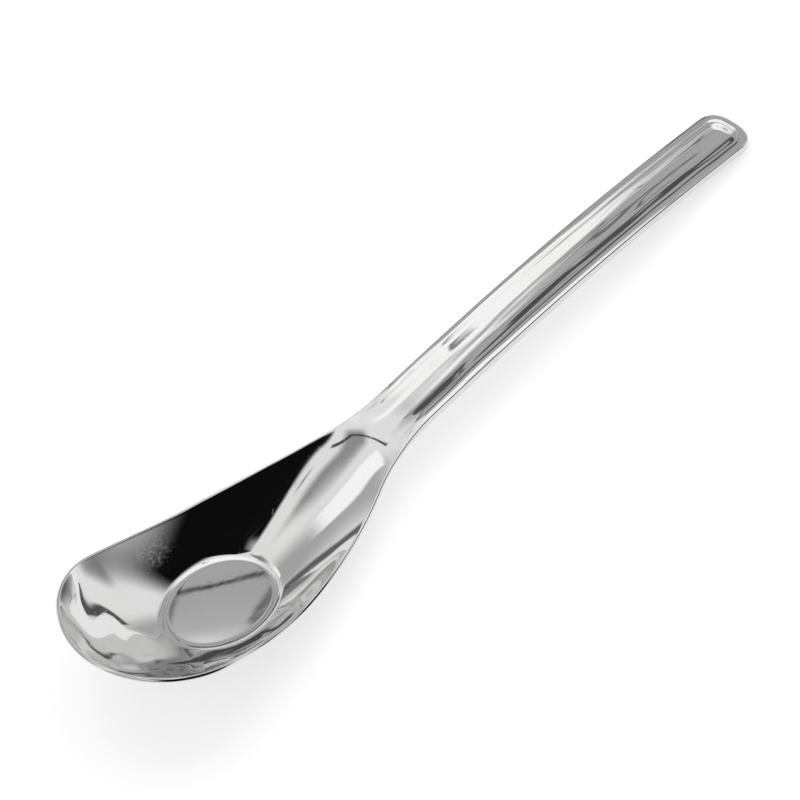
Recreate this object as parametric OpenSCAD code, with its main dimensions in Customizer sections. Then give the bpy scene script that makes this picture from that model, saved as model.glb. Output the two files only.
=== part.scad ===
// Flat-bottomed soup spoon, pressed from one sheet of stainless steel.
// The pressing is kept as five solids that meet face to face: bowl, foot, neck, handle and groove.
// It is shaped with the foot level, then leaned back until the end of the handle meets the table too.
// Heights are those of the middle of the sheet above the underside of the foot.

/* [Overall] */
// Length from the lip of the bowl to the end of the handle
spoon_len = 175; // [160:1:190]

/* [Bowl] */
// Greatest width of the bowl
bowl_w = 36.4; // [34:0.2:40]
// Distance from the lip to the widest place
widest_x = 18; // [15:0.5:20]
// Distance from the lip to the section where the neck takes over
bowl_len = 66; // [62:0.5:70]
// Width of the bowl at that section
bowl_end_w = 18; // [15:0.2:20]
// How fast the half width closes in at that section, as rise over run
bowl_end_taper_share = 0.41; // [0.3:0.01:0.5]
// Depth of the dish at that section
bowl_end_dish = 1.6; // [1:0.1:4.5]
// Height of the rim at the lip
lip_h = 15.6; // [12:0.2:18]
// How steep the bowl is at the lip, as rise over run
lip_rise_share = 1.1; // [0.8:0.05:1.3]
// Height of the rim at its lowest
rim_low_h = 8.3; // [6.5:0.1:9]
// Distance from the lip to the rim's lowest place
rim_low_x = 40; // [38:0.5:46]
// Height of the rim where the neck takes over
rim_end_h = 11.9; // [10:0.1:13]
// How steep the rim is there, as rise over run
rim_end_rise_share = 0.35; // [0.2:0.01:0.45]
// Thickness of the sheet in the bowl
bowl_t = 0.9; // [0.6:0.05:1.2]

/* [Foot] */
// Distance from the lip to the middle of the foot
foot_x = 33; // [31:0.5:35]
// Length of the foot over its step
foot_len = 26.6; // [23:0.2:29]
// Width of the foot over its step
foot_w = 20.8; // [18:0.2:23]
// Width of the step round the foot
foot_step_w = 2.4; // [1.2:0.1:3]
// Height of the step round the foot
foot_step_h = 0.7; // [0.4:0.1:1.8]
// Thickness of the sheet in the foot
foot_t = 1; // [0.6:0.05:1.2]

/* [Neck] */
// Length of the neck
neck_len = 17; // [10:0.5:18]
// Length of its dished part, up to the crest where the sheet turns over into the handle
crest_len = 7.5; // [6:0.5:9]
// Height over which the crest is rounded off
crest_round = 0.5; // [0.2:0.05:0.8]

/* [Handle] */
// Width of the handle
handle_w = 11.5; // [9.6:0.1:13]
// Thickness of the sheet at the border of the handle
handle_t = 1.8; // [1.4:0.05:2.2]
// Height of the handle where the neck ends
handle_start_h = 15.9; // [13:0.1:17]
// Height of the handle at its end
handle_end_h = 24.8; // [20:0.2:30]
// Rise of the middle of the handle above a straight line
handle_arch = 2.3; // [0:0.1:4]
// Length of the rounded end of the handle
end_reach = 4.7; // [3.4:0.1:6]
// How far the border is raised along its middle
border_crown = 0.2; // [0:0.05:0.4]

/* [Groove] */
// Width of the groove across its top
groove_w = 7.6; // [6.6:0.1:8]
// Width of the floor of the groove
groove_floor_w = 2.4; // [1.6:0.1:3.6]
// How far the middle of the sheet is sunk in the groove
groove_depth = 0.3; // [0.2:0.05:0.7]
// Thickness of the sheet under the groove
groove_t = 1.4; // [0.9:0.05:1.7]
// Width of the border left beyond the end of the groove
groove_end_border = 1.8; // [1.4:0.1:2.2]
// Width of the wall at the end of the groove
groove_end_wall = 1.5; // [0.8:0.1:2]

/* [Hidden] */

// Counts of steps: round the lip, along the side, up the wall, up the step, along neck and handle
lip_steps = 14;
side_steps = 18;
wall_steps = 11;
foot_steps = 5;
neck_steps = 18;
handle_steps = 24;
end_steps = 10;
border_steps = 4;
groove_steps = 5;

// Length over which slopes are measured
probe = 0.01;
// Roundness of the ends of handle and groove, from 0 for a square corner to 1 for an ellipse
end_round_share = 0.79;

handle_x = bowl_len + neck_len;
handle_len = spoon_len - handle_x;
handle_half = handle_w / 2;
end_x = spoon_len - end_reach;
foot_a = foot_len / 2;
foot_b = foot_w / 2;
floor_a = foot_a - foot_step_w;
floor_b = foot_b - foot_step_w;
floor_mid = foot_t / 2;
step_mid = floor_mid + foot_step_h;
foot_front_x = foot_x - foot_a;
foot_back_x = foot_x + foot_a;

// Cubic that leaves (x0, y0) at slope s0 and arrives at (x1, y1) at slope s1
function run(x, x0, y0, s0, x1, y1, s1) =
    let (d = x1 - x0, t = (x - x0) / d, u = 1 - t)
    y0 * u * u * (1 + 2 * t) + y1 * t * t * (3 - 2 * t) + d * t * u * (s0 * u - s1 * t);
function ease(t) = t * t * (3 - 2 * t);
function mix(a, b, t) = a + (b - a) * t;

// Handle: height along its arch, and how steep it starts
handle_rise = handle_end_h - handle_start_h;
handle_slope = (handle_rise + 4 * handle_arch) / handle_len;
function arch(x) =
    let (t = (x - handle_x) / handle_len)
    handle_start_h + handle_rise * t + 4 * handle_arch * t * (1 - t);

// Outline: the square of the half width, an ellipse round the lip and cubics behind it
function half_w2(x) =
    x < widest_x ? pow(bowl_w / 2, 2) * (1 - pow(1 - x / widest_x, 2))
    : x < bowl_len ? pow(run(x, widest_x, bowl_w / 2, 0, bowl_len, bowl_end_w / 2, -bowl_end_taper_share), 2)
    : pow(run(x, bowl_len, bowl_end_w / 2, -bowl_end_taper_share, handle_x, handle_half, 0), 2);

// Height of the rim along the spoon
function rim_h(x) =
    x < rim_low_x ? run(x, 0, lip_h, 0, rim_low_x, rim_low_h, 0)
    : x < bowl_len ? run(x, rim_low_x, rim_low_h, 0, bowl_len, rim_end_h, rim_end_rise_share)
    : run(x, bowl_len, rim_end_h, rim_end_rise_share, handle_x, handle_start_h, handle_slope);

// Height of the middle line; over the foot it is the one that brings the wall down level to the step
keel_end_h = rim_end_h - bowl_end_dish;
crest_x = bowl_len + crest_len;
function groove_line(x) = arch(x) - groove_depth;
crest_slope = (groove_line(crest_x) - keel_end_h) / crest_len;
// The lower of two heights, rounded off where they cross
function lower(a, b) =
    let (t = max(0, min(1, (1 + (b - a) / crest_round) / 2)))
    mix(b, a, t) - crest_round * t * (1 - t);
function keel_over_foot(x) =
    let (share = foot_b * foot_b * (1 - pow((x - foot_x) / foot_a, 2)) / half_w2(x))
    (step_mid - rim_h(x) * share) / (1 - share);
function keel_slope(x) = (keel_over_foot(x) - keel_over_foot(x - probe)) / probe;
foot_front_slope = keel_slope(foot_front_x + probe);
foot_back_slope = keel_slope(foot_back_x);
function keel(x) =
    x < foot_front_x ? run(x, 0, lip_h, -lip_rise_share, foot_front_x, step_mid, foot_front_slope)
    : x < foot_back_x ? keel_over_foot(x)
    : x < bowl_len ? run(x, foot_back_x, step_mid, foot_back_slope, bowl_len, keel_end_h, crest_slope)
    : lower(keel_end_h + crest_slope * (x - bowl_len), groove_line(x));

// How far the section has turned from the dish of the bowl into the groove of the handle
function turned(x) = x < crest_x ? 0 : ease(min(1, (x - crest_x) / (handle_x - crest_x)));
// How far the groove is sunk at a share of the half width, between its floor and its top edge
floor_share = groove_floor_w / handle_w;
top_share = groove_w / handle_w;
function sunk(share) = ease(max(0, min(1, (top_share - share) / (top_share - floor_share))));
// How far the border is raised at a share of its width
function crown(share) = 4 * border_crown * share * (1 - share);
function border_rise(share) = crown(max(0, min(1, (share - top_share) / (1 - top_share))));

// Middle of the sheet in bowl and neck, the way across it, and its thickness
function mid_h(x, y) =
    let (at = abs(x) < probe ? probe : x, w2 = half_w2(at), k = keel(at), r = rim_h(at), share = abs(y) / sqrt(w2))
    mix(k + (r - k) * y * y / w2, r - groove_depth * sunk(share) + border_rise(share) / 2, turned(at));
function across(x, y) =
    let (
        sx = (mid_h(x + probe, y) - mid_h(x - probe, y)) / (2 * probe),
        sy = (mid_h(x, y + probe) - mid_h(x, y - probe)) / (2 * probe),
        way = mix([-sx, -sy, 1] / norm([sx, sy, 1]), [0, 0, 1], turned(x))
    )
    way / norm(way);
function thick(x, share) = mix(bowl_t, mix(handle_t, groove_t, sunk(share)) + border_rise(share), turned(x));
// A place in the sheet: middle, way across and thickness
function sheet(x, y) = [[x, y, mid_h(x, y)], across(x, y), thick(x, abs(y) / sqrt(half_w2(max(x, probe))))];

function top_of(places) = [for (p = places) p[0] + p[1] * p[2] / 2];
function under_of(places) = [for (p = places) p[0] - p[1] * p[2] / 2];

// Shares of the half width at which sections of neck and groove have points, from middle to edge
half_shares = concat(
    [0, floor_share / 2],
    [for (i = [0 : groove_steps]) mix(floor_share, top_share, i / groove_steps)],
    [for (i = [1 : border_steps]) mix(top_share, 1, i / border_steps)]
);
half_count = len(half_shares);

// Edge of the bowl from the middle of the neck section round one side to the lip
side_edge = concat(
    [for (i = [1 : half_count - 1]) [bowl_len, half_shares[i] * bowl_end_w / 2]],
    [for (i = [1 : side_steps]) let (x = mix(bowl_len, widest_x, i / side_steps)) [x, sqrt(half_w2(x))]],
    [for (i = [1 : lip_steps]) let (a = 90 * i / lip_steps) [widest_x * (1 - sin(a)), bowl_w / 2 * cos(a)]]
);
bowl_edge = concat(
    [[bowl_len, 0]],
    side_edge,
    [for (i = [len(side_edge) - 2 : -1 : 0]) [side_edge[i][0], -side_edge[i][1]]]
);
foot_angles = [for (p = bowl_edge) atan2(p[1] / foot_b, (p[0] - foot_x) / foot_a)];
function oval(a, b) = [for (angle = foot_angles) [foot_x + a * cos(angle), b * sin(angle)]];
floor_edge = oval(floor_a, floor_b);
step_edge = oval(foot_a, foot_b);

// The step round the foot, one ring of places at a share of its width
function step_ring(share) = [
    for (i = [0 : len(floor_edge) - 1])
        let (
            way = step_edge[i] - floor_edge[i],
            out = way / norm(way),
            outer = step_edge[i] + probe * out,
            wall = (mid_h(outer[0], outer[1]) - mid_h(step_edge[i][0], step_edge[i][1])) / probe,
            p = floor_edge[i] + way * share,
            w = norm(way),
            h = run(share * w, 0, floor_mid, 0, w, step_mid, wall),
            rise = (run(share * w + probe, 0, floor_mid, 0, w, step_mid, wall) - h) / probe,
            tilt = share == 0 ? 0 : rise
        )
        [[p[0], p[1], h], [-tilt * out[0], -tilt * out[1], 1] / norm([tilt, 1]), mix(foot_t, bowl_t, share)]
];
function wall_ring(share) = [
    for (i = [0 : len(bowl_edge) - 1])
        let (p = mix(step_edge[i], bowl_edge[i], share))
        sheet(p[0], p[1])
];

// Rounded end shared by the outline of the handle and of its groove
function end_curve(half, reach, angle) =
    let (c = pow(max(0, cos(angle)), end_round_share), s = pow(abs(sin(angle)), end_round_share))
    [end_x + reach * c, half * s * sign(sin(angle))];
function around(half, reach) = concat(
    [for (i = [0 : handle_steps]) [mix(handle_x, end_x, i / handle_steps), -half]],
    [for (i = [1 : 2 * end_steps - 1]) end_curve(half, reach, 90 * (i / end_steps - 1))],
    [for (i = [handle_steps : -1 : 0]) [mix(handle_x, end_x, i / handle_steps), half]]
);
groove_reach = end_reach - groove_end_border;
floor_reach = groove_reach - groove_end_wall;
function border_ring(share) = [
    for (p = around(mix(handle_half, groove_w / 2, share), mix(end_reach, groove_reach, share)))
        [[p[0], p[1], arch(p[0]) + crown(share) / 2], [0, 0, 1], handle_t + crown(share)]
];
function groove_ring(share) =
    let (down = ease(share))
    [
        for (p = around(mix(groove_w, groove_floor_w, share) / 2, mix(groove_reach, floor_reach, share)))
            [[p[0], p[1], arch(p[0]) - groove_depth * down], [0, 0, 1], mix(handle_t, groove_t, down)]
    ];

// Two triangles for the four corners a, b, c, d
function two(a, b, c, d) = [[a, b, c], [a, c, d]];
function joined(lists) = [for (l = lists) each l];
// Strips of triangles between rows of points; closed joins the last column to the first
function strips(rows, cols, closed, first) = joined([
    for (i = [0 : rows - 2])
        for (j = [0 : cols - (closed ? 1 : 2)])
            let (k = (j + 1) % cols, a = first + i * cols, b = a + cols)
            two(a + j, a + k, b + k, b + j)
]);
function flipped(faces) = [for (f = faces) [f[0], f[2], f[1]]];
// Wall between a line of top points and the line below it
function wall(line, down) = joined([
    for (i = [0 : len(line) - 2]) two(line[i], line[i] + down, line[i + 1] + down, line[i + 1])
]);

// A sheet from rows of places; an open one may be closed across its last row by rungs
module pressed(rows, closed = false, rungs = false) {
    n = len(rows);
    m = len(rows[0]);
    below = n * m;
    last = (n - 1) * m;
    mouth = rungs ? [last + m - 1, last] : [];
    rung_faces = rungs ? joined([
        for (j = [0 : floor(m / 2) - 1])
            let (a = last + j, b = last + m - 1 - j)
            b - a > 2 ? two(a, a + 1, b - 1, b) : [[a, a + 1, b]]
    ]) : [];
    skin = concat(strips(n, m, closed, 0), rung_faces);
    lower = [for (f = flipped(skin)) [f[0] + below, f[1] + below, f[2] + below]];
    outer_line = closed ? [for (j = [0 : m]) j % m] : [for (j = [0 : m - 1]) j];
    inner_line = [for (i = [len(outer_line) - 1 : -1 : 0]) last + outer_line[i]];
    first_line = [for (i = [n - 1 : -1 : 0]) i * m];
    final_line = [for (i = [0 : n - 1]) i * m + m - 1];
    walls = concat(
        wall(outer_line, below),
        rungs ? [] : wall(inner_line, below),
        closed ? [] : wall(first_line, below),
        closed ? [] : wall(final_line, below),
        rungs ? wall(mouth, below) : []
    );
    polyhedron(
        points = concat(joined([for (r = rows) top_of(r)]), joined([for (r = rows) under_of(r)])),
        faces = flipped(concat(skin, lower, walls))
    );
}

// Leaned back on the rear of the foot or of the bowl and on the end of the handle, centred over the table
rear_line = concat(
    [for (i = [0 : foot_steps]) step_ring(i / foot_steps)[0]],
    [for (i = [1 : wall_steps]) wall_ring(i / wall_steps)[0]]
);
rear_under = under_of(rear_line);
groove_end_x = end_x + floor_reach;
function lean_onto(x, h) = max([for (p = rear_under) atan((h - p[2]) / (x - p[0]))]);
lean = min(
    lean_onto(spoon_len, handle_end_h - handle_t / 2),
    lean_onto(groove_end_x, arch(groove_end_x) - groove_depth - groove_t / 2)
);
rest_h = max([for (p = rear_under) p[0] * sin(lean) - p[2] * cos(lean)]);
lip_low = lip_h - bowl_t / 2 * cos(atan(lip_rise_share));
lip_out = bowl_t / 2 * sin(atan(lip_rise_share));
front_x = lip_low * sin(lean) - lip_out * cos(lean);
back_x = spoon_len * cos(lean) + (handle_end_h + handle_t / 2) * sin(lean);
module placed() {
    translate([-(front_x + back_x) / 2, 0, rest_h]) rotate([0, lean, 0]) children();
}

module bowl() {
    color("silver") placed() pressed(
        concat(
            [for (i = [wall_steps : -1 : 0]) wall_ring(i / wall_steps)],
            [for (i = [foot_steps - 1 : -1 : 0]) step_ring(i / foot_steps)]
        ),
        closed = true
    );
}

module foot() {
    color("gainsboro") placed() linear_extrude(foot_t) polygon(floor_edge);
}

module neck() {
    signed_shares = concat([for (i = [half_count - 1 : -1 : 1]) half_shares[i]], -half_shares);
    color("silver") placed() pressed([
        for (i = [0 : neck_steps])
            let (x = mix(bowl_len, handle_x, i / neck_steps))
            [for (s = signed_shares) sheet(x, s * sqrt(half_w2(x)))]
    ]);
}

module handle() {
    color("silver") placed() pressed([for (i = [0 : border_steps]) border_ring(i / border_steps)]);
}

module groove() {
    color("gainsboro") placed() pressed(
        [for (i = [0 : groove_steps]) groove_ring(i / groove_steps)],
        rungs = true
    );
}

bowl();
foot();
neck();
handle();
groove();
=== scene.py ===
import math

import bmesh
import bpy
import numpy as np
from mathutils import Matrix, Vector


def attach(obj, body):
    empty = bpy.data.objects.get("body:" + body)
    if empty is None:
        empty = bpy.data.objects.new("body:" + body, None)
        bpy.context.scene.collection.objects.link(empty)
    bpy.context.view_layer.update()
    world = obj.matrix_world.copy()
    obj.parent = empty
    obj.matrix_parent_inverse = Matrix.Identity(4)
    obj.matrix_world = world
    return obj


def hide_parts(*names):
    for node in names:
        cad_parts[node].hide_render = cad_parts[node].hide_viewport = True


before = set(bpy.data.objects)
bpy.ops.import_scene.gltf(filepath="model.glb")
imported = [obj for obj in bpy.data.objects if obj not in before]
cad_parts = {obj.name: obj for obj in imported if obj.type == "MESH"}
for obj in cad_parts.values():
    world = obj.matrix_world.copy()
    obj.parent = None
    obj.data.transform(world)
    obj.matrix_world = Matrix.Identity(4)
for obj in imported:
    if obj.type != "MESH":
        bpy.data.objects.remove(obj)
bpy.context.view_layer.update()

# The spoon is shaped in millimetres with its foot level, then leaned back onto the table as in the CAD.
MM = 0.001

# Sizes of the pressing, the same as in the part's source
SPOON_LEN = 175.0
BOWL_W = 36.4
WIDEST_X = 18.0
BOWL_LEN = 66.0
BOWL_END_W = 18.0
BOWL_END_TAPER = 0.41
BOWL_END_DISH = 1.6
LIP_H = 15.6
LIP_RISE = 1.1
RIM_LOW_H = 8.3
RIM_LOW_X = 40.0
RIM_END_H = 11.9
RIM_END_RISE = 0.35
BOWL_T = 0.9
FOOT_X = 33.0
FOOT_LEN = 26.6
FOOT_W = 20.8
FOOT_STEP_W = 2.4
FOOT_STEP_H = 0.7
FOOT_T = 1.0
NECK_LEN = 17.0
CREST_LEN = 7.5
CREST_ROUND = 0.5
HANDLE_W = 11.5
HANDLE_T = 1.8
HANDLE_START_H = 15.9
HANDLE_END_H = 24.8
HANDLE_ARCH = 2.3
END_REACH = 4.7
BORDER_CROWN = 0.2
GROOVE_W = 7.6
GROOVE_FLOOR_W = 2.4
GROOVE_DEPTH = 0.3
GROOVE_T = 1.4
GROOVE_END_BORDER = 1.8
GROOVE_END_WALL = 1.5
END_ROUND = 0.79
# How the spoon rests, as the part's source works it out
LEAN = math.radians(10.3536)
FRONT_X = 2.42173
BACK_X = 176.769
REST_H = 7.94069

# Sizes that only the looks need: the polished-over edge, and the slight dome left in the floor of the foot
EDGE_ROUND = 0.35
FOOT_DOME = 0.20
# Middle of the rubbed patch on the left wall of the bowl, in metres
RUBBED_PATCH = (-0.0589, 0.0152, 0.0094)
# Over this length before the neck, the way out of the rim turns square to the spoon
RIM_TURN_LEN = 9.0

# Points of the mesh along and across each region
SIDE_POINTS, LIP_POINTS, EDGE_POINTS = 91, 61, 6
STEP_ROWS, WALL_ROWS, FOOT_ROWS, NECK_ROWS = 19, 49, 25, 61
HANDLE_POINTS, END_POINTS, BORDER_ROWS, GROOVE_ROWS, FLOOR_ROWS = 121, 73, 9, 17, 17
# Points of the mesh closer than this are one and the same
WELD = 2e-5

HANDLE_X = BOWL_LEN + NECK_LEN
HANDLE_LEN = SPOON_LEN - HANDLE_X
END_X = SPOON_LEN - END_REACH
FOOT_A, FOOT_B = FOOT_LEN / 2, FOOT_W / 2
FLOOR_A, FLOOR_B = FOOT_A - FOOT_STEP_W, FOOT_B - FOOT_STEP_W
FLOOR_MID = FOOT_T / 2
STEP_MID = FLOOR_MID + FOOT_STEP_H
FOOT_FRONT_X, FOOT_BACK_X = FOOT_X - FOOT_A, FOOT_X + FOOT_A
HANDLE_RISE = HANDLE_END_H - HANDLE_START_H
HANDLE_SLOPE = (HANDLE_RISE + 4 * HANDLE_ARCH) / HANDLE_LEN
KEEL_END_H = RIM_END_H - BOWL_END_DISH
CREST_X = BOWL_LEN + CREST_LEN
GROOVE_REACH = END_REACH - GROOVE_END_BORDER
FLOOR_REACH = GROOVE_REACH - GROOVE_END_WALL
FLOOR_SHARE, TOP_SHARE = GROOVE_FLOOR_W / HANDLE_W, GROOVE_W / HANDLE_W
PROBE = 0.005


# Shape of the pressed sheet


def run(x, x0, y0, s0, x1, y1, s1):
    """Cubic that leaves (x0, y0) at slope s0 and arrives at (x1, y1) at slope s1."""
    d = x1 - x0
    t = (x - x0) / d
    u = 1 - t
    return y0 * u * u * (1 + 2 * t) + y1 * t * t * (3 - 2 * t) + d * t * u * (s0 * u - s1 * t)


def ease(t):
    t = np.clip(t, 0, 1)
    return t * t * (3 - 2 * t)


def mix(a, b, t):
    return a + (b - a) * t


def unit(v):
    return v / np.linalg.norm(v, axis=-1, keepdims=True)


def arch(x):
    t = (x - HANDLE_X) / HANDLE_LEN
    return HANDLE_START_H + HANDLE_RISE * t + 4 * HANDLE_ARCH * t * (1 - t)


def half_width_squared(x):
    lip = (BOWL_W / 2) ** 2 * (1 - (1 - x / WIDEST_X) ** 2)
    side = run(x, WIDEST_X, BOWL_W / 2, 0, BOWL_LEN, BOWL_END_W / 2, -BOWL_END_TAPER) ** 2
    waist = run(x, BOWL_LEN, BOWL_END_W / 2, -BOWL_END_TAPER, HANDLE_X, HANDLE_W / 2, 0) ** 2
    return np.where(x < WIDEST_X, lip, np.where(x < BOWL_LEN, side, waist))


def rim_height(x):
    front = run(x, 0, LIP_H, 0, RIM_LOW_X, RIM_LOW_H, 0)
    rear = run(x, RIM_LOW_X, RIM_LOW_H, 0, BOWL_LEN, RIM_END_H, RIM_END_RISE)
    waist = run(x, BOWL_LEN, RIM_END_H, RIM_END_RISE, HANDLE_X, HANDLE_START_H, HANDLE_SLOPE)
    return np.where(x < RIM_LOW_X, front, np.where(x < BOWL_LEN, rear, waist))


def keel_over_foot(x):
    share = FOOT_B**2 * (1 - ((x - FOOT_X) / FOOT_A) ** 2) / half_width_squared(x)
    return (STEP_MID - rim_height(x) * share) / (1 - share)


def keel_slope(x):
    return float((keel_over_foot(x + PROBE) - keel_over_foot(x - PROBE)) / (2 * PROBE))


def lower(a, b):
    """The lower of two heights, rounded off where they cross."""
    t = np.clip((1 + (b - a) / CREST_ROUND) / 2, 0, 1)
    return mix(b, a, t) - CREST_ROUND * t * (1 - t)


FRONT_SLOPE, BACK_SLOPE = keel_slope(FOOT_FRONT_X), keel_slope(FOOT_BACK_X)
CREST_SLOPE = (arch(CREST_X) - GROOVE_DEPTH - KEEL_END_H) / CREST_LEN


def keel_height(x):
    front = run(x, 0, LIP_H, -LIP_RISE, FOOT_FRONT_X, STEP_MID, FRONT_SLOPE)
    rear = run(x, FOOT_BACK_X, STEP_MID, BACK_SLOPE, BOWL_LEN, KEEL_END_H, CREST_SLOPE)
    waist = lower(KEEL_END_H + CREST_SLOPE * (x - BOWL_LEN), arch(x) - GROOVE_DEPTH)
    behind = np.where(x < BOWL_LEN, rear, waist)
    return np.where(x < FOOT_FRONT_X, front, np.where(x < FOOT_BACK_X, keel_over_foot(x), behind))


def turned(x):
    return ease((x - CREST_X) / (HANDLE_X - CREST_X))


def sunk(share):
    return ease((TOP_SHARE - share) / (TOP_SHARE - FLOOR_SHARE))


def crown(share):
    """How far the border is raised at a share of its width."""
    return 4 * BORDER_CROWN * share * (1 - share)


def border_rise(share):
    return crown(np.clip((share - TOP_SHARE) / (1 - TOP_SHARE), 0, 1))


def sheet_height(x, y):
    x = np.maximum(x, PROBE)
    w2, keel, rim = half_width_squared(x), keel_height(x), rim_height(x)
    dish = keel + (rim - keel) * y * y / w2
    share = np.abs(y) / np.sqrt(w2)
    groove = rim - GROOVE_DEPTH * sunk(share) + border_rise(share) / 2
    return mix(dish, groove, turned(x))


def sheet(x, y):
    """Middle of the sheet in bowl and neck, the way across it, and its thickness."""
    x, y = np.asarray(x, float), np.asarray(y, float)
    sx = (sheet_height(x + PROBE, y) - sheet_height(np.maximum(x - PROBE, PROBE), y)) / (
        x + PROBE - np.maximum(x - PROBE, PROBE)
    )
    sy = (sheet_height(x, y + PROBE) - sheet_height(x, y - PROBE)) / (2 * PROBE)
    up = np.stack([0 * x, 0 * x, 0 * x + 1], -1)
    lean_in = unit(np.stack([-sx, -sy, 0 * x + 1], -1))
    across = unit(mix(lean_in, up, turned(x)[..., None]))
    share = np.abs(y) / np.sqrt(half_width_squared(np.maximum(x, PROBE)))
    thick = mix(BOWL_T, mix(HANDLE_T, GROOVE_T, sunk(share)) + border_rise(share), turned(x))
    return np.stack([x, y, sheet_height(x, y)], -1), across, thick


# Gathering faces: the skin is what shows, the seams are the hidden faces where two pieces meet

SKIN = {}
SEAM = {}


def gather(store, piece, corners):
    """Adds faces, given as an array of faces by corners by xyz, to a piece."""
    store.setdefault(piece, []).append(np.asarray(corners, float))


def strip(rows):
    """Four-cornered faces between rows of points, as an array of faces by 4 by xyz."""
    rows = np.asarray(rows, float)
    a, b, c, d = rows[:-1, :-1], rows[:-1, 1:], rows[1:, 1:], rows[1:, :-1]
    return np.stack([a, b, c, d], -2).reshape(-1, 4, 3)


def over(place):
    mid, across, thick = place
    return mid + across * np.asarray(thick)[..., None] / 2


def under(place):
    mid, across, thick = place
    return mid - across * np.asarray(thick)[..., None] / 2


def edge_rows(mid, across, thick, outward):
    """Rows from the top of the sheet round its polished edge to the underside."""
    turns = np.linspace(0, math.pi / 2, EDGE_POINTS)
    straight = (np.asarray(thick) / 2 - EDGE_ROUND)[..., None]
    out = [outward * EDGE_ROUND * math.sin(turn) for turn in turns]
    up = [across * (straight + EDGE_ROUND * math.cos(turn)) for turn in turns]
    upper = [mid + o + u for o, u in zip(out, up)]
    lower_half = [mid + o - u for o, u in zip(out, up)]
    return np.array(upper + lower_half[::-1])


# Places across the neck and handle from the middle to where the edge begins to turn
NECK_ACROSS = np.concatenate([
    np.linspace(0, GROOVE_FLOOR_W / 2, (FLOOR_ROWS + 1) // 2)[:-1],
    np.linspace(GROOVE_FLOOR_W / 2, GROOVE_W / 2, GROOVE_ROWS)[:-1],
    np.linspace(GROOVE_W / 2, HANDLE_W / 2 - EDGE_ROUND, BORDER_ROWS),
])
NECK_ACROSS = np.concatenate([-NECK_ACROSS[:0:-1], NECK_ACROSS]) / NECK_ACROSS[-1]


def neck_section(x):
    """Places across the sheet at one distance along the neck."""
    y = NECK_ACROSS * (math.sqrt(half_width_squared(np.float64(x))) - EDGE_ROUND)
    return sheet(np.full_like(y, x), y)


def section_seam(piece, place, profiles):
    """Closes a piece across the sheet, with the rounded edges at the ends of the cut."""
    gather(SEAM, piece, strip([over(place), under(place)]))
    for profile in profiles:
        gather(SEAM, piece, profile[None])


def side_profile(place, end):
    """Polished edge at an end of a section across the sheet: end 0 is on the right, -1 on the left."""
    mid, across, thick = (p[end] for p in place)
    beyond = np.array([0.0, 1.0 if end else -1.0, 0.0])
    outward = unit(beyond - across * np.dot(beyond, across))
    return edge_rows(mid, across, thick, outward)


# Bowl: the wall from the step round the foot up to the rim


def bowl_outline():
    """Rim in plan from the left end of the neck round the lip to the right end, and the way out of it."""
    side_x = np.linspace(BOWL_LEN, WIDEST_X, SIDE_POINTS)
    side = np.stack([side_x, np.sqrt(half_width_squared(side_x))], -1)
    a = np.linspace(0, math.pi / 2, LIP_POINTS)[1:]
    lip = np.stack([WIDEST_X * (1 - np.sin(a)), BOWL_W / 2 * np.cos(a)], -1)
    half = np.concatenate([side, lip])
    edge = np.concatenate([half, half[-2::-1] * [1, -1]])
    along = np.gradient(edge, axis=0)
    out = unit(np.stack([along[:, 1], -along[:, 0]], -1))
    out *= np.sign((out * (edge - [FOOT_X, 0])).sum(-1, keepdims=True))
    square = np.stack([0 * out[:, 0], np.sign(edge[:, 1])], -1)
    from_neck = ease((BOWL_LEN - edge[:, 0]) / RIM_TURN_LEN)[:, None]
    return edge, unit(mix(square, out, from_neck))


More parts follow.
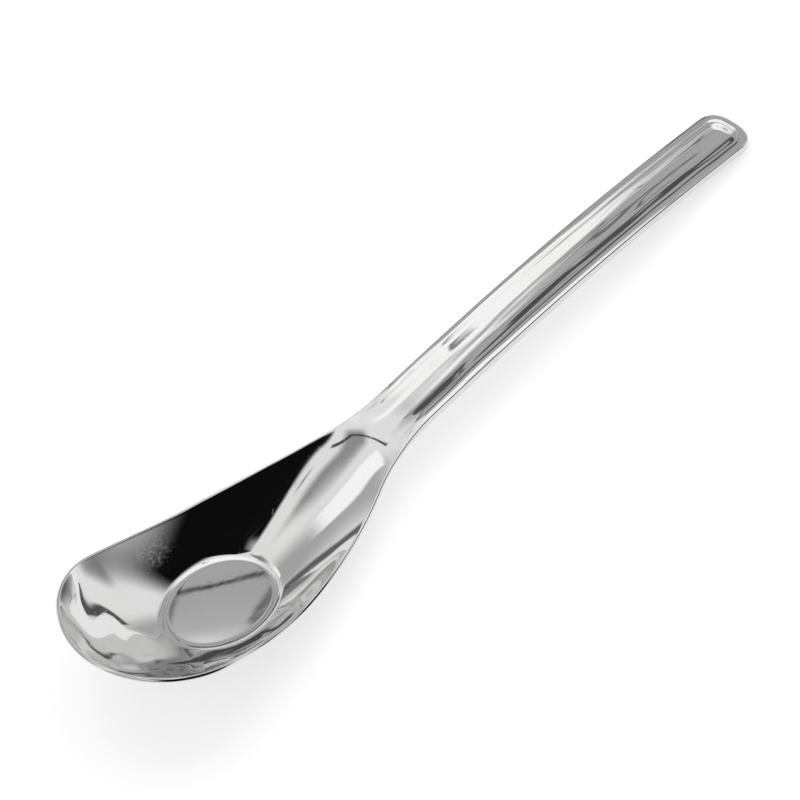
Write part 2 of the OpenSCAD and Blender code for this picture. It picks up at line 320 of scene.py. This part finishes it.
def make_bowl():
    edge, out = bowl_outline()
    rim = edge - out * EDGE_ROUND
    neck_y = NECK_ACROSS * (BOWL_END_W / 2 - EDGE_ROUND)
    neck = np.stack([np.full_like(neck_y, BOWL_LEN), neck_y], -1)
    plan = np.concatenate([rim, neck[1:]])
    angle = np.arctan2(plan[:, 1] / FOOT_B, (plan[:, 0] - FOOT_X) / FOOT_A)
    round_foot = np.stack([np.cos(angle), np.sin(angle)], -1)
    floor_edge = [FOOT_X, 0] + round_foot * [FLOOR_A, FLOOR_B]
    step_edge = [FOOT_X, 0] + round_foot * [FOOT_A, FOOT_B]

    rows = []
    way = step_edge - floor_edge
    reach = np.linalg.norm(way, axis=-1)
    out_of_foot = way / reach[:, None]
    ahead = step_edge + PROBE * out_of_foot
    slope = (sheet_height(*ahead.T) - sheet_height(*step_edge.T)) / PROBE
    for s in np.linspace(0, 1, STEP_ROWS)[:-1]:
        p = floor_edge + way * s
        h = run(s * reach, 0, FLOOR_MID, 0, reach, STEP_MID, slope)
        rise = (run(s * reach + PROBE, 0, FLOOR_MID, 0, reach, STEP_MID, slope) - h) / PROBE * (s > 0)
        across = unit(np.stack([-rise * out_of_foot[:, 0], -rise * out_of_foot[:, 1], 0 * rise + 1], -1))
        rows.append((np.stack([p[:, 0], p[:, 1], h], -1), across, np.full(len(p), mix(FOOT_T, BOWL_T, s))))
    for s in np.linspace(0, 1, WALL_ROWS):
        p = mix(step_edge, plan, s)
        rows.append(sheet(p[:, 0], p[:, 1]))

    top = np.array([over(r) for r in rows])
    bottom = np.array([under(r) for r in rows])
    gather(SKIN, "bowl", strip(top))
    gather(SKIN, "bowl", strip(bottom))
    n = len(edge)
    mid, across, thick = (r[:n] for r in rows[-1])
    edge_mid = np.stack([edge[:, 0], edge[:, 1], sheet_height(edge[:, 0], edge[:, 1])], -1)
    outward = edge_mid - mid
    outward = unit(outward - across * (outward * across).sum(-1, keepdims=True))
    rim_rows = edge_rows(mid, across, thick, outward)
    gather(SKIN, "bowl", strip(rim_rows))
    gather(SEAM, "bowl", strip([bottom[0], top[0]]))
    cut = tuple(np.concatenate([r[n - 1:], r[:1]]) for r in rows[-1])
    section_seam("bowl", cut, [rim_rows[:, -1], rim_rows[:, 0]])
    return floor_edge


def make_foot(floor_edge):
    centre = np.array([FOOT_X, 0.0])
    shares = np.linspace(1, 0, FOOT_ROWS)[:-1]
    tops, bottoms = [], []
    for s in shares:
        p = centre + (floor_edge - centre) * s
        dome = FOOT_DOME * (1 - s * s)
        tops.append(np.stack([p[:, 0], p[:, 1], 0 * p[:, 0] + FOOT_T + dome], -1))
        bottoms.append(np.stack([p[:, 0], p[:, 1], 0 * p[:, 0] + dome], -1))
    gather(SKIN, "foot", strip(tops))
    gather(SKIN, "foot", strip(bottoms))
    for ring, h in ((tops[-1], FOOT_T + FOOT_DOME), (bottoms[-1], FOOT_DOME)):
        hub = np.broadcast_to([FOOT_X, 0.0, h], ring[1:].shape)
        gather(SKIN, "foot", np.stack([hub, ring[:-1], ring[1:]], 1))
    gather(SEAM, "foot", strip([tops[0], bottoms[0]]))


# Neck: the shoulders, where the dish of the bowl turns into the groove of the handle


def make_neck():
    xs = np.linspace(BOWL_LEN, HANDLE_X, NECK_ROWS)
    places = [neck_section(x) for x in xs]
    gather(SKIN, "neck", strip([over(p) for p in places]))
    gather(SKIN, "neck", strip([under(p) for p in places]))
    right = np.array([side_profile(p, 0) for p in places])
    left = np.array([side_profile(p, -1) for p in places])
    gather(SKIN, "neck", strip(right))
    gather(SKIN, "neck", strip(left))
    for i in (0, -1):
        section_seam("neck", places[i], [right[i], left[i]])


# Handle and groove: rings that follow the outline of the handle and its rounded end


def end_curve(half, reach, angle):
    c = np.maximum(0, np.cos(angle)) ** END_ROUND
    s = np.abs(np.sin(angle)) ** END_ROUND * np.sign(np.sin(angle))
    return np.stack([END_X + reach * c, half * s], -1)


def around(half, reach):
    x = np.linspace(HANDLE_X, END_X, HANDLE_POINTS)
    right = np.stack([x, np.full_like(x, -half)], -1)
    tip = end_curve(half, reach, np.linspace(-math.pi / 2, math.pi / 2, END_POINTS)[1:-1])
    return np.concatenate([right, tip, right[::-1] * [1, -1]])


def flat_place(plan, sink, thick):
    mid = np.stack([plan[:, 0], plan[:, 1], arch(plan[:, 0]) - sink], -1)
    return mid, np.broadcast_to([0.0, 0.0, 1.0], mid.shape), np.full(len(mid), thick)


def make_handle():
    outline = around(HANDLE_W / 2, END_REACH)
    along = np.gradient(outline, axis=0)
    out = unit(np.stack([along[:, 1], -along[:, 0]], -1))
    outer = outline - out * EDGE_ROUND
    inner = around(GROOVE_W / 2, GROOVE_REACH)
    places = []
    for s in np.linspace(0, 1, BORDER_ROWS):
        rise = float(border_rise(mix(1 - EDGE_ROUND / (HANDLE_W / 2), TOP_SHARE, s)))
        places.append(flat_place(mix(outer, inner, s), -rise / 2, HANDLE_T + rise))
    gather(SKIN, "handle", strip([over(p) for p in places]))
    gather(SKIN, "handle", strip([under(p) for p in places]))
    mid, across, thick = places[0]
    rows = edge_rows(mid, across, thick, np.stack([out[:, 0], out[:, 1], 0 * out[:, 0]], -1))
    gather(SKIN, "handle", strip(rows))
    gather(SEAM, "handle", strip([over(places[-1]), under(places[-1])]))
    for i in (0, -1):
        cut = tuple(np.array([p[k][i] for p in places]) for k in range(3))
        section_seam("handle", cut, [rows[:, i]])


def make_groove():
    places = []
    for s in np.linspace(0, 1, GROOVE_ROWS):
        plan = around(mix(GROOVE_W, GROOVE_FLOOR_W, s) / 2, mix(GROOVE_REACH, FLOOR_REACH, s))
        down = float(ease(s))
        places.append(flat_place(plan, GROOVE_DEPTH * down, mix(HANDLE_T, GROOVE_T, down)))
    gather(SKIN, "groove", strip([over(p) for p in places]))
    gather(SKIN, "groove", strip([under(p) for p in places]))
    gather(SEAM, "groove", strip([under(places[0]), over(places[0])]))
    ring = places[-1]
    count = len(ring[0]) // 2
    cuts = []
    for side in (over, under):
        level = side(ring)
        steps = np.linspace(0, 1, FLOOR_ROWS)
        floor = np.array([mix(level[:count], level[::-1][:count], step) for step in steps])
        gather(SKIN, "groove", strip(floor))
        tip = floor[:, -1]
        point = np.broadcast_to(level[count], tip[1:].shape)
        gather(SKIN, "groove", np.stack([tip[:-1], point, tip[1:]], 1))
        walls = np.array([side(p)[[0, -1]] for p in places[:-1]])
        cuts.append(np.concatenate([walls[:, 0], floor[:, 0], walls[::-1, 1]]))
    gather(SEAM, "groove", strip(cuts))


# Turning the gathered faces into meshes


def put_down(points):
    """Leans the spoon back onto the table and turns millimetres into metres."""
    c, s = math.cos(LEAN), math.sin(LEAN)
    x, y, z = points[..., 0], points[..., 1], points[..., 2]
    moved = np.stack([c * x + s * z - (FRONT_X + BACK_X) / 2, y, -s * x + c * z + REST_H], -1)
    return moved * MM


def key_of(point):
    """The place of a point, to the width within which points are welded."""
    return tuple(int(round(c / WELD)) for c in point)


def closed_mesh(piece):
    """A closed mesh of a piece's skin and seams, facing out, with its skin faces marked."""
    shell = bmesh.new()
    shows = shell.faces.layers.int.new("shows")
    found = {}
    for store in (SKIN, SEAM):
        for corners in store[piece]:
            for points in corners:
                face = []
                for point in points:
                    key = key_of(point)
                    if key not in found:
                        found[key] = shell.verts.new(point)
                    if found[key] not in face:
                        face.append(found[key])
                if len(face) > 2:
                    shell.faces.new(face)[shows] = int(store is SKIN)
    bmesh.ops.recalc_face_normals(shell, faces=shell.faces)
    return shell, shows


def skin_normals(shells):
    """Normal at each point of the skin, averaged over all pieces so that no seam shows in the polish."""
    total = {}
    for shell, shows in shells:
        for face in shell.faces:
            if face[shows]:
                weighted = face.normal * face.calc_area()
                for vert in face.verts:
                    key = key_of(vert.co)
                    total[key] = total[key] + weighted if key in total else weighted.copy()
    return {key: normal.normalized() for key, normal in total.items()}


def build(piece, shell, shows, normals, material):
    lean = Matrix.Rotation(LEAN, 3, "Y")
    polish = []
    for face in shell.faces:
        face.smooth = bool(face[shows])
        for vert in face.verts:
            polish.append(lean @ (normals[key_of(vert.co)] if face[shows] else face.normal))
    mesh = bpy.data.meshes.new(piece)
    shell.to_mesh(mesh)
    shell.free()
    points = np.empty(len(mesh.vertices) * 3)
    mesh.vertices.foreach_get("co", points)
    mesh.vertices.foreach_set("co", put_down(points.reshape(-1, 3)).ravel())
    mesh.attributes.remove(mesh.attributes["shows"])
    mesh.update()
    mesh.normals_split_custom_set(polish)
    mesh.materials.append(material)
    obj = bpy.data.objects.new(f"{piece}_pressing", mesh)
    bpy.context.scene.collection.objects.link(obj)
    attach(obj, "root")
    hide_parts(piece)


# Materials


def linear(hex_colour):
    """An sRGB hex colour as linear red, green, blue and alpha."""
    parts = [int(hex_colour[i:i + 2], 16) / 255 for i in (1, 3, 5)]
    return [c / 12.92 if c <= 0.04045 else ((c + 0.055) / 1.055) ** 2.4 for c in parts] + [1.0]


def add_node(tree, kind, settings=None, inputs=None, links=None):
    """Adds one node with its settings, its socket values, and links given as socket: (node, output)."""
    made = tree.nodes.new(kind)
    for name, value in (settings or {}).items():
        setattr(made, name, value)
    for name, value in (inputs or {}).items():
        made.inputs[name].default_value = value
    for name, (source, output) in (links or {}).items():
        tree.links.new(source.outputs[output], made.inputs[name])
    return made


def polished_stainless():
    # 18-8 stainless steel, pressed and buffed to a mirror: sharp reflections that swim a little over the
    # uneven sheet, faint polishing lines along the spoon, hairline scratches, a dull rubbed patch inside the
    # bowl, and scuffs where the spoon rests.
    material = bpy.data.materials.new("mirror_polished_stainless_steel")
    material.use_nodes = True
    tree = material.node_tree
    tree.nodes.clear()
    place = add_node(tree, "ShaderNodeTexCoord")
    apart = add_node(tree, "ShaderNodeSeparateXYZ", links={"Vector": (place, "Object")})
    facing = add_node(tree, "ShaderNodeSeparateXYZ", links={"Vector": (place, "Normal")})
    from_patch = add_node(
        tree, "ShaderNodeVectorMath", {"operation": "DISTANCE"}, {1: RUBBED_PATCH}, {0: (place, "Object")},
    )
    found = {
        "x": (apart, "X"), "y": (apart, "Y"), "z": (apart, "Z"),
        "facing_y": (facing, "Y"), "from_patch": (from_patch, "Value"),
    }

    # Random patterns: millimetres from hump to hump along x, y and z, turn about the vertical, and detail
    patterns = {
        # The uneven sheet, and the finer waves that buffing leaves
        "humps": ((18, 12, 15), 0, 1),
        "waves": ((5, 3, 4), 20, 0),
        # The press works the front of the bowl, its right wall and the neck hardest, so the sheet swims there
        "swirl_pattern": ((13, 9, 10), 35, 0),
        "fold_pattern": ((16, 4.5, 6), 8, 0),
        # Long shallow streaks that rolling leaves in the handle
        "streak_pattern": ((26, 1.9, 3), 2, 1),
        # Polishing lines along the spoon; real ones are hundredths of a millimetre apart, drawn coarser here
        "lines": ((45, 0.62, 0.9), 0, 2),
        # Hairline scratches both ways, drawn some tenths of a millimetre wide so that they show at this size
        "scratch_pattern": ((5, 0.28, 0.9), 31, 0),
        "cross_scratch_pattern": ((4, 0.25, 0.8), -52, 0),
        # Short strokes in the rubbed patch, and scuffs on what touches the table
        "stroke_pattern": ((4, 0.5, 0.35), -30, 3),
        "scuff_pattern": ((2, 2, 2), 0, 3),
    }
    for name, (humps_mm, turn, detail) in patterns.items():
        spread = add_node(
            tree, "ShaderNodeMapping", {"vector_type": "TEXTURE"},
            {"Rotation": (0, 0, math.radians(turn)), "Scale": [hump * MM for hump in humps_mm]},
            {"Vector": (place, "Object")},
        )
        noise = add_node(
            tree, "ShaderNodeTexNoise", None,
            {"Scale": 1.0, "Detail": detail}, {"Vector": (spread, "Vector")},
        )
        found[name] = noise, "Fac"

    # Soft steps: what they read, where they start and end, and the values there
    steps = {
        "front": ("x", -69 * MM, -76 * MM, 0, 1),
        "right_side": ("y", -10 * MM, -15 * MM, 0, 0.6),
        "before_neck": ("x", -18 * MM, -30 * MM, 0, 1),
        "from_bowl": ("x", -12 * MM, -5 * MM, 0, 1),
        "to_handle": ("x", 9 * MM, 1 * MM, 0, 1),
        "handle": ("x", -6 * MM, 8 * MM, 0, 1),
        "swirl_height": ("swirl_pattern", 0.2, 0.8, -1, 1),
        "fold_height": ("fold_pattern", 0.2, 0.8, -1, 1),
        "streak_height": ("streak_pattern", 0.2, 0.8, -1, 1),
        "scratch": ("scratch_pattern", 0.82, 0.86, 0, 1),
        "cross_scratch": ("cross_scratch_pattern", 0.82, 0.86, 0, 1),
        "near_patch": ("from_patch", 7 * MM, 1 * MM, 0, 1),
        "inside": ("facing_y", 0.1, -0.1, 0, 1),
        "strokes": ("stroke_pattern", 0.40, 0.66, 0, 1),
        "touching": ("z", 1.4 * MM, 0.3 * MM, 0, 1),
        "scuff_marks": ("scuff_pattern", 0.4, 0.6, 0, 1),
        "haze": ("lines", 0.40, 0.75, 0.03, 0.075),
    }
    for name, (source, low, high, to_low, to_high) in steps.items():
        step = add_node(
            tree, "ShaderNodeMapRange", {"interpolation_type": "SMOOTHSTEP"},
            {"From Min": low, "From Max": high, "To Min": to_low, "To Max": to_high},
            {"Value": found[source]},
        )
        found[name] = step, "Result"

    # Steps laid together: where each kind of relief or wear is, times its own pattern
    blends = {
        "right_wall": ("MULTIPLY", "right_side", "before_neck"),
        "pressed_hard": ("MAXIMUM", "front", "right_wall"),
        "swirls": ("MULTIPLY", "pressed_hard", "swirl_height"),
        "neck": ("MULTIPLY", "from_bowl", "to_handle"),
        "folds": ("MULTIPLY", "neck", "fold_height"),
        "streaks": ("MULTIPLY", "handle", "streak_height"),
        "scratches": ("MAXIMUM", "scratch", "cross_scratch"),
        "patch": ("MULTIPLY", "near_patch", "inside"),
        "rubbed": ("MULTIPLY", "patch", "strokes"),
        "scuffs": ("MULTIPLY", "touching", "scuff_marks"),
        "worn": ("MAXIMUM", "rubbed", "scuffs"),
    }
    for name, (operation, first, second) in blends.items():
        blend = add_node(
            tree, "ShaderNodeMath", {"operation": operation}, links={0: found[first], 1: found[second]},
        )
        found[name] = blend, "Value"

    # Relief in millimetres, each over the one before; the scratches are cut in
    relief_mm = {
        "humps": 0.10, "swirls": 0.45, "folds": 0.14, "streaks": 0.03,
        "waves": 0.0022, "lines": 0.0012, "scratches": -0.002,
    }
    relief = {}
    for name, depth in relief_mm.items():
        bump = add_node(
            tree, "ShaderNodeBump", {"invert": depth < 0}, {"Strength": 1.0, "Distance": abs(depth) * MM},
            {"Height": found[name], **relief},
        )
        relief = {"Normal": (bump, "Normal")}

    # Worn places are duller by this much roughness
    roughness = add_node(
        tree, "ShaderNodeMath", {"operation": "MULTIPLY_ADD"}, {1: 0.34},
        {0: found["worn"], 2: found["haze"]},
    )
    tint = add_node(
        tree, "ShaderNodeMix", {"data_type": "RGBA"},
        {6: linear("#DFDFDF"), 7: linear("#D7D7D6")}, {0: found["humps"]},
    )
    shader = add_node(
        tree, "ShaderNodeBsdfPrincipled", None, {"Metallic": 1.0},
        {"Base Color": (tint, 2), "Roughness": (roughness, "Value"), **relief},
    )
    add_node(tree, "ShaderNodeOutputMaterial", links={"Surface": (shader, "BSDF")})
    return material


# Studio: pale floor, soft light and the photograph's camera


def photo_camera():
    """Camera of the photograph, fitted to the outline with the foot level, then leaned with the spoon."""
    azimuth, height = math.radians(45.5), math.radians(48.5)
    distance, pixels_per_mm, image_pixels = 650.0, 5.35, 800
    flat = math.cos(height)
    back = np.array([-math.sin(azimuth) * flat, -math.cos(azimuth) * flat, math.sin(height)])
    right = np.array([math.cos(azimuth), -math.sin(azimuth), 0.0])
    target = np.array([80.2, 0.0, 19.1])
    lean = np.array([[math.cos(LEAN), 0, math.sin(LEAN)], [0, 1, 0], [-math.sin(LEAN), 0, math.cos(LEAN)]])
    back_t, right_t = lean @ back, lean @ right
    up_t = np.cross(back_t, right_t)
    place = put_down(target + back * distance)
    data = bpy.data.cameras.new("photo_camera")
    data.sensor_width = 36.0
    data.lens = pixels_per_mm * distance / image_pixels * data.sensor_width
    data.clip_start, data.clip_end = 0.01, 50.0
    obj = bpy.data.objects.new("photo_camera", data)
    bpy.context.scene.collection.objects.link(obj)
    turn = Matrix([right_t, up_t, back_t]).transposed().to_4x4()
    obj.matrix_world = Matrix.Translation(Vector(place)) @ turn
    bpy.context.scene.camera = obj


def way_to(azimuth, elevation):
    """Unit vector towards an azimuth and an elevation in degrees, from +X towards +Y and up."""
    a, e = math.radians(azimuth), math.radians(elevation)
    return Vector((math.cos(a) * math.cos(e), math.sin(a) * math.cos(e), math.sin(e)))


def studio_card(name, start, end, half_width, level, soft, distance=1.2):
    """A strip from one direction to another that shows only in the polish.

    The directions, half_width and soft edge are in degrees as the spoon sees them, and level 1 is white.
    """
    ways = [way_to(*start), way_to(*end)]
    middle = (ways[0] + ways[1]).normalized()
    half_length = math.degrees(ways[0].angle(ways[1])) / 2
    along = (ways[1] - ways[0]).normalized()
    turn = Matrix([along.cross(middle), along, middle]).transposed().to_4x4()
    sides = [distance * math.tan(math.radians(half)) for half in (half_width, half_length)]
    mesh = bpy.data.meshes.new(name)
    mesh.from_pydata([(-1, -1, 0), (1, -1, 0), (1, 1, 0), (-1, 1, 0)], [], [(0, 1, 2, 3)])
    card = bpy.data.objects.new(name, mesh)
    bpy.context.scene.collection.objects.link(card)
    card.matrix_world = Matrix.Translation(middle * distance) @ turn @ Matrix.Diagonal((*sides, 1, 1))
    material = bpy.data.materials.new(name)
    material.use_nodes = True
    material.cycles.emission_sampling = "NONE"
    tree = material.node_tree
    tree.nodes.clear()
    place = add_node(tree, "ShaderNodeTexCoord")
    apart = add_node(tree, "ShaderNodeSeparateXYZ", links={"Vector": (place, "Object")})
    fades = []
    for side, half in (("X", half_width), ("Y", half_length)):
        off = add_node(tree, "ShaderNodeMath", {"operation": "ABSOLUTE"}, links={0: (apart, side)})
        fades.append(add_node(
            tree, "ShaderNodeMapRange", {"interpolation_type": "SMOOTHSTEP"},
            {"From Min": 1.0, "From Max": max(0.0, 1.0 - soft / half), "To Min": 0.0, "To Max": 1.0},
            {"Value": (off, "Value")},
        ))
    cover = add_node(
        tree, "ShaderNodeMath", {"operation": "MULTIPLY"},
        links={0: (fades[0], "Result"), 1: (fades[1], "Result")},
    )
    clear = add_node(tree, "ShaderNodeBsdfTransparent")
    glow = add_node(tree, "ShaderNodeEmission", inputs={"Strength": level})
    both = add_node(
        tree, "ShaderNodeMixShader", links={0: (cover, "Value"), 1: (clear, "BSDF"), 2: (glow, "Emission")},
    )
    add_node(tree, "ShaderNodeOutputMaterial", links={"Surface": (both, "Shader")})
    mesh.materials.append(material)
    for ray in ("camera", "diffuse", "shadow", "volume_scatter"):
        setattr(card, f"visible_{ray}", False)


def studio_cards():
    # What stands round polished metal in a white studio, to give it contrast
    studio_card("black_flag_right", (280, -5), (280, 75), 55, 0.005, 30)
    studio_card("black_flag_over", (270, 35), (150, 84), 14, 0.005, 4, 0.9)
    for name, azimuth in (("grey_wall_behind", 35), ("grey_wall_left", 125), ("grey_wall_before", 215)):
        studio_card(name, (azimuth, -10), (azimuth, 62), 40, 0.5, 20, 1.5)
    studio_card("grey_ceiling", (75, 75), (120, 65), 10, 0.35, 6)
    studio_card("softbox", (345, 57), (60, 60), 14, 1.25, 6)
    studio_card("strip_light", (93, 40), (100, 57), 5, 1.25, 3, 1.1)
    # Slats of a dark stand before the wall, for lines along the handle; the foot sees between two of them
    for azimuth in range(6, 80, 15):
        studio_card(f"slat_{azimuth}", (azimuth, 20), (azimuth, 50), 1.2, 0.2, 1, 1.3)
    # Low shelves, for the sides of the groove, the right wall of the bowl and the front of the bowl
    studio_card("shelf_behind_handle", (40, 15), (80, 30), 6, 0.1, 3)
    studio_card("shelf_behind_bowl", (80, 15), (105, 18), 6, 0.15, 4)
    studio_card("shelf_at_handle_end", (340, -1), (8, 1), 4, 0.1, 2)
    # Thin dark rails of the stand, for the streaks in the handle and the foot and the line over the crest.
    # Their places are rounded off from a numeric search against the photograph's brightness.
    studio_card("rail_over_handle", (345, 67), (15, 66), 1.5, 0.25, 1.5, 0.95)
    studio_card("rail_near_foot", (60, 45), (40, 45), 0.8, 0.05, 0.8, 0.4)
    studio_card("rail_over_neck", (150, 80), (80, 55), 1, 0.05, 0.7, 0.85)


def shown_background(tree):
    """1 for the rays that show the background: to the eye, in the polish and through glass."""
    rays = add_node(tree, "ShaderNodeLightPath")
    shown = rays, "Is Camera Ray"
    for kind in ("Is Glossy Ray", "Is Transmission Ray"):
        larger = add_node(tree, "ShaderNodeMath", {"operation": "MAXIMUM"}, links={0: shown, 1: (rays, kind)})
        shown = larger, "Value"
    return shown


def pale_floor():
    """White paper that keeps the shadow of the spoon."""
    reach = 4.0
    mesh = bpy.data.meshes.new("floor")
    corners = [(-reach, -reach, 0), (reach, -reach, 0), (reach, reach, 0), (-reach, reach, 0)]
    mesh.from_pydata(corners, [], [(0, 1, 2, 3)])
    floor = bpy.data.objects.new("floor", mesh)
    bpy.context.scene.collection.objects.link(floor)
    material = bpy.data.materials.new("white_paper_floor")
    material.use_nodes = True
    material.cycles.emission_sampling = "NONE"
    tree = material.node_tree
    tree.nodes.clear()
    paper = add_node(tree, "ShaderNodeBsdfDiffuse", inputs={"Color": linear("#D4D4D4")})
    lift = add_node(tree, "ShaderNodeMath", {"operation": "MULTIPLY"}, {1: 0.45}, {0: shown_background(tree)})
    glow = add_node(tree, "ShaderNodeEmission", links={"Strength": (lift, "Value")})
    seen = add_node(tree, "ShaderNodeAddShader", links={0: (paper, "BSDF"), 1: (glow, "Emission")})
    add_node(tree, "ShaderNodeOutputMaterial", links={"Surface": (seen, "Shader")})
    mesh.materials.append(material)


def soft_light():
    """A white room, a little dimmer where it lights the floor, and one soft lamp behind the spoon."""
    world = bpy.data.worlds.new("white_studio")
    world.use_nodes = True
    bpy.context.scene.world = world
    tree = world.node_tree
    tree.nodes.clear()
    lit = add_node(tree, "ShaderNodeBackground", inputs={"Color": linear("#FFFFFF"), "Strength": 0.78})
    white = add_node(tree, "ShaderNodeBackground", inputs={"Color": linear("#FFFFFF"), "Strength": 1.0})
    both = add_node(
        tree, "ShaderNodeMixShader",
        links={0: shown_background(tree), 1: (lit, "Background"), 2: (white, "Background")},
    )
    add_node(tree, "ShaderNodeOutputWorld", links={"Surface": (both, "Shader")})
    data = bpy.data.lights.new("overhead_softbox", "AREA")
    data.shape, data.size, data.size_y, data.energy = "RECTANGLE", 1.0, 0.5, 2.0
    lamp = bpy.data.objects.new("overhead_softbox", data)
    bpy.context.scene.collection.objects.link(lamp)
    way = way_to(50, 68)
    lamp.matrix_world = Matrix.Translation(way) @ way.to_track_quat("Z", "Y").to_matrix().to_4x4()
    # The polish shows the soft-edged softbox card in its place
    lamp.visible_camera = lamp.visible_glossy = False


make_foot(make_bowl())
make_neck()
make_handle()
make_groove()
shells = {piece: closed_mesh(piece) for piece in SKIN}
polish = skin_normals(shells.values())
steel = polished_stainless()
for piece, (shell, shows) in shells.items():
    build(piece, shell, shows, polish, steel)
bpy.context.scene.view_settings.view_transform = "Standard"
photo_camera()
pale_floor()
soft_light()
studio_cards()
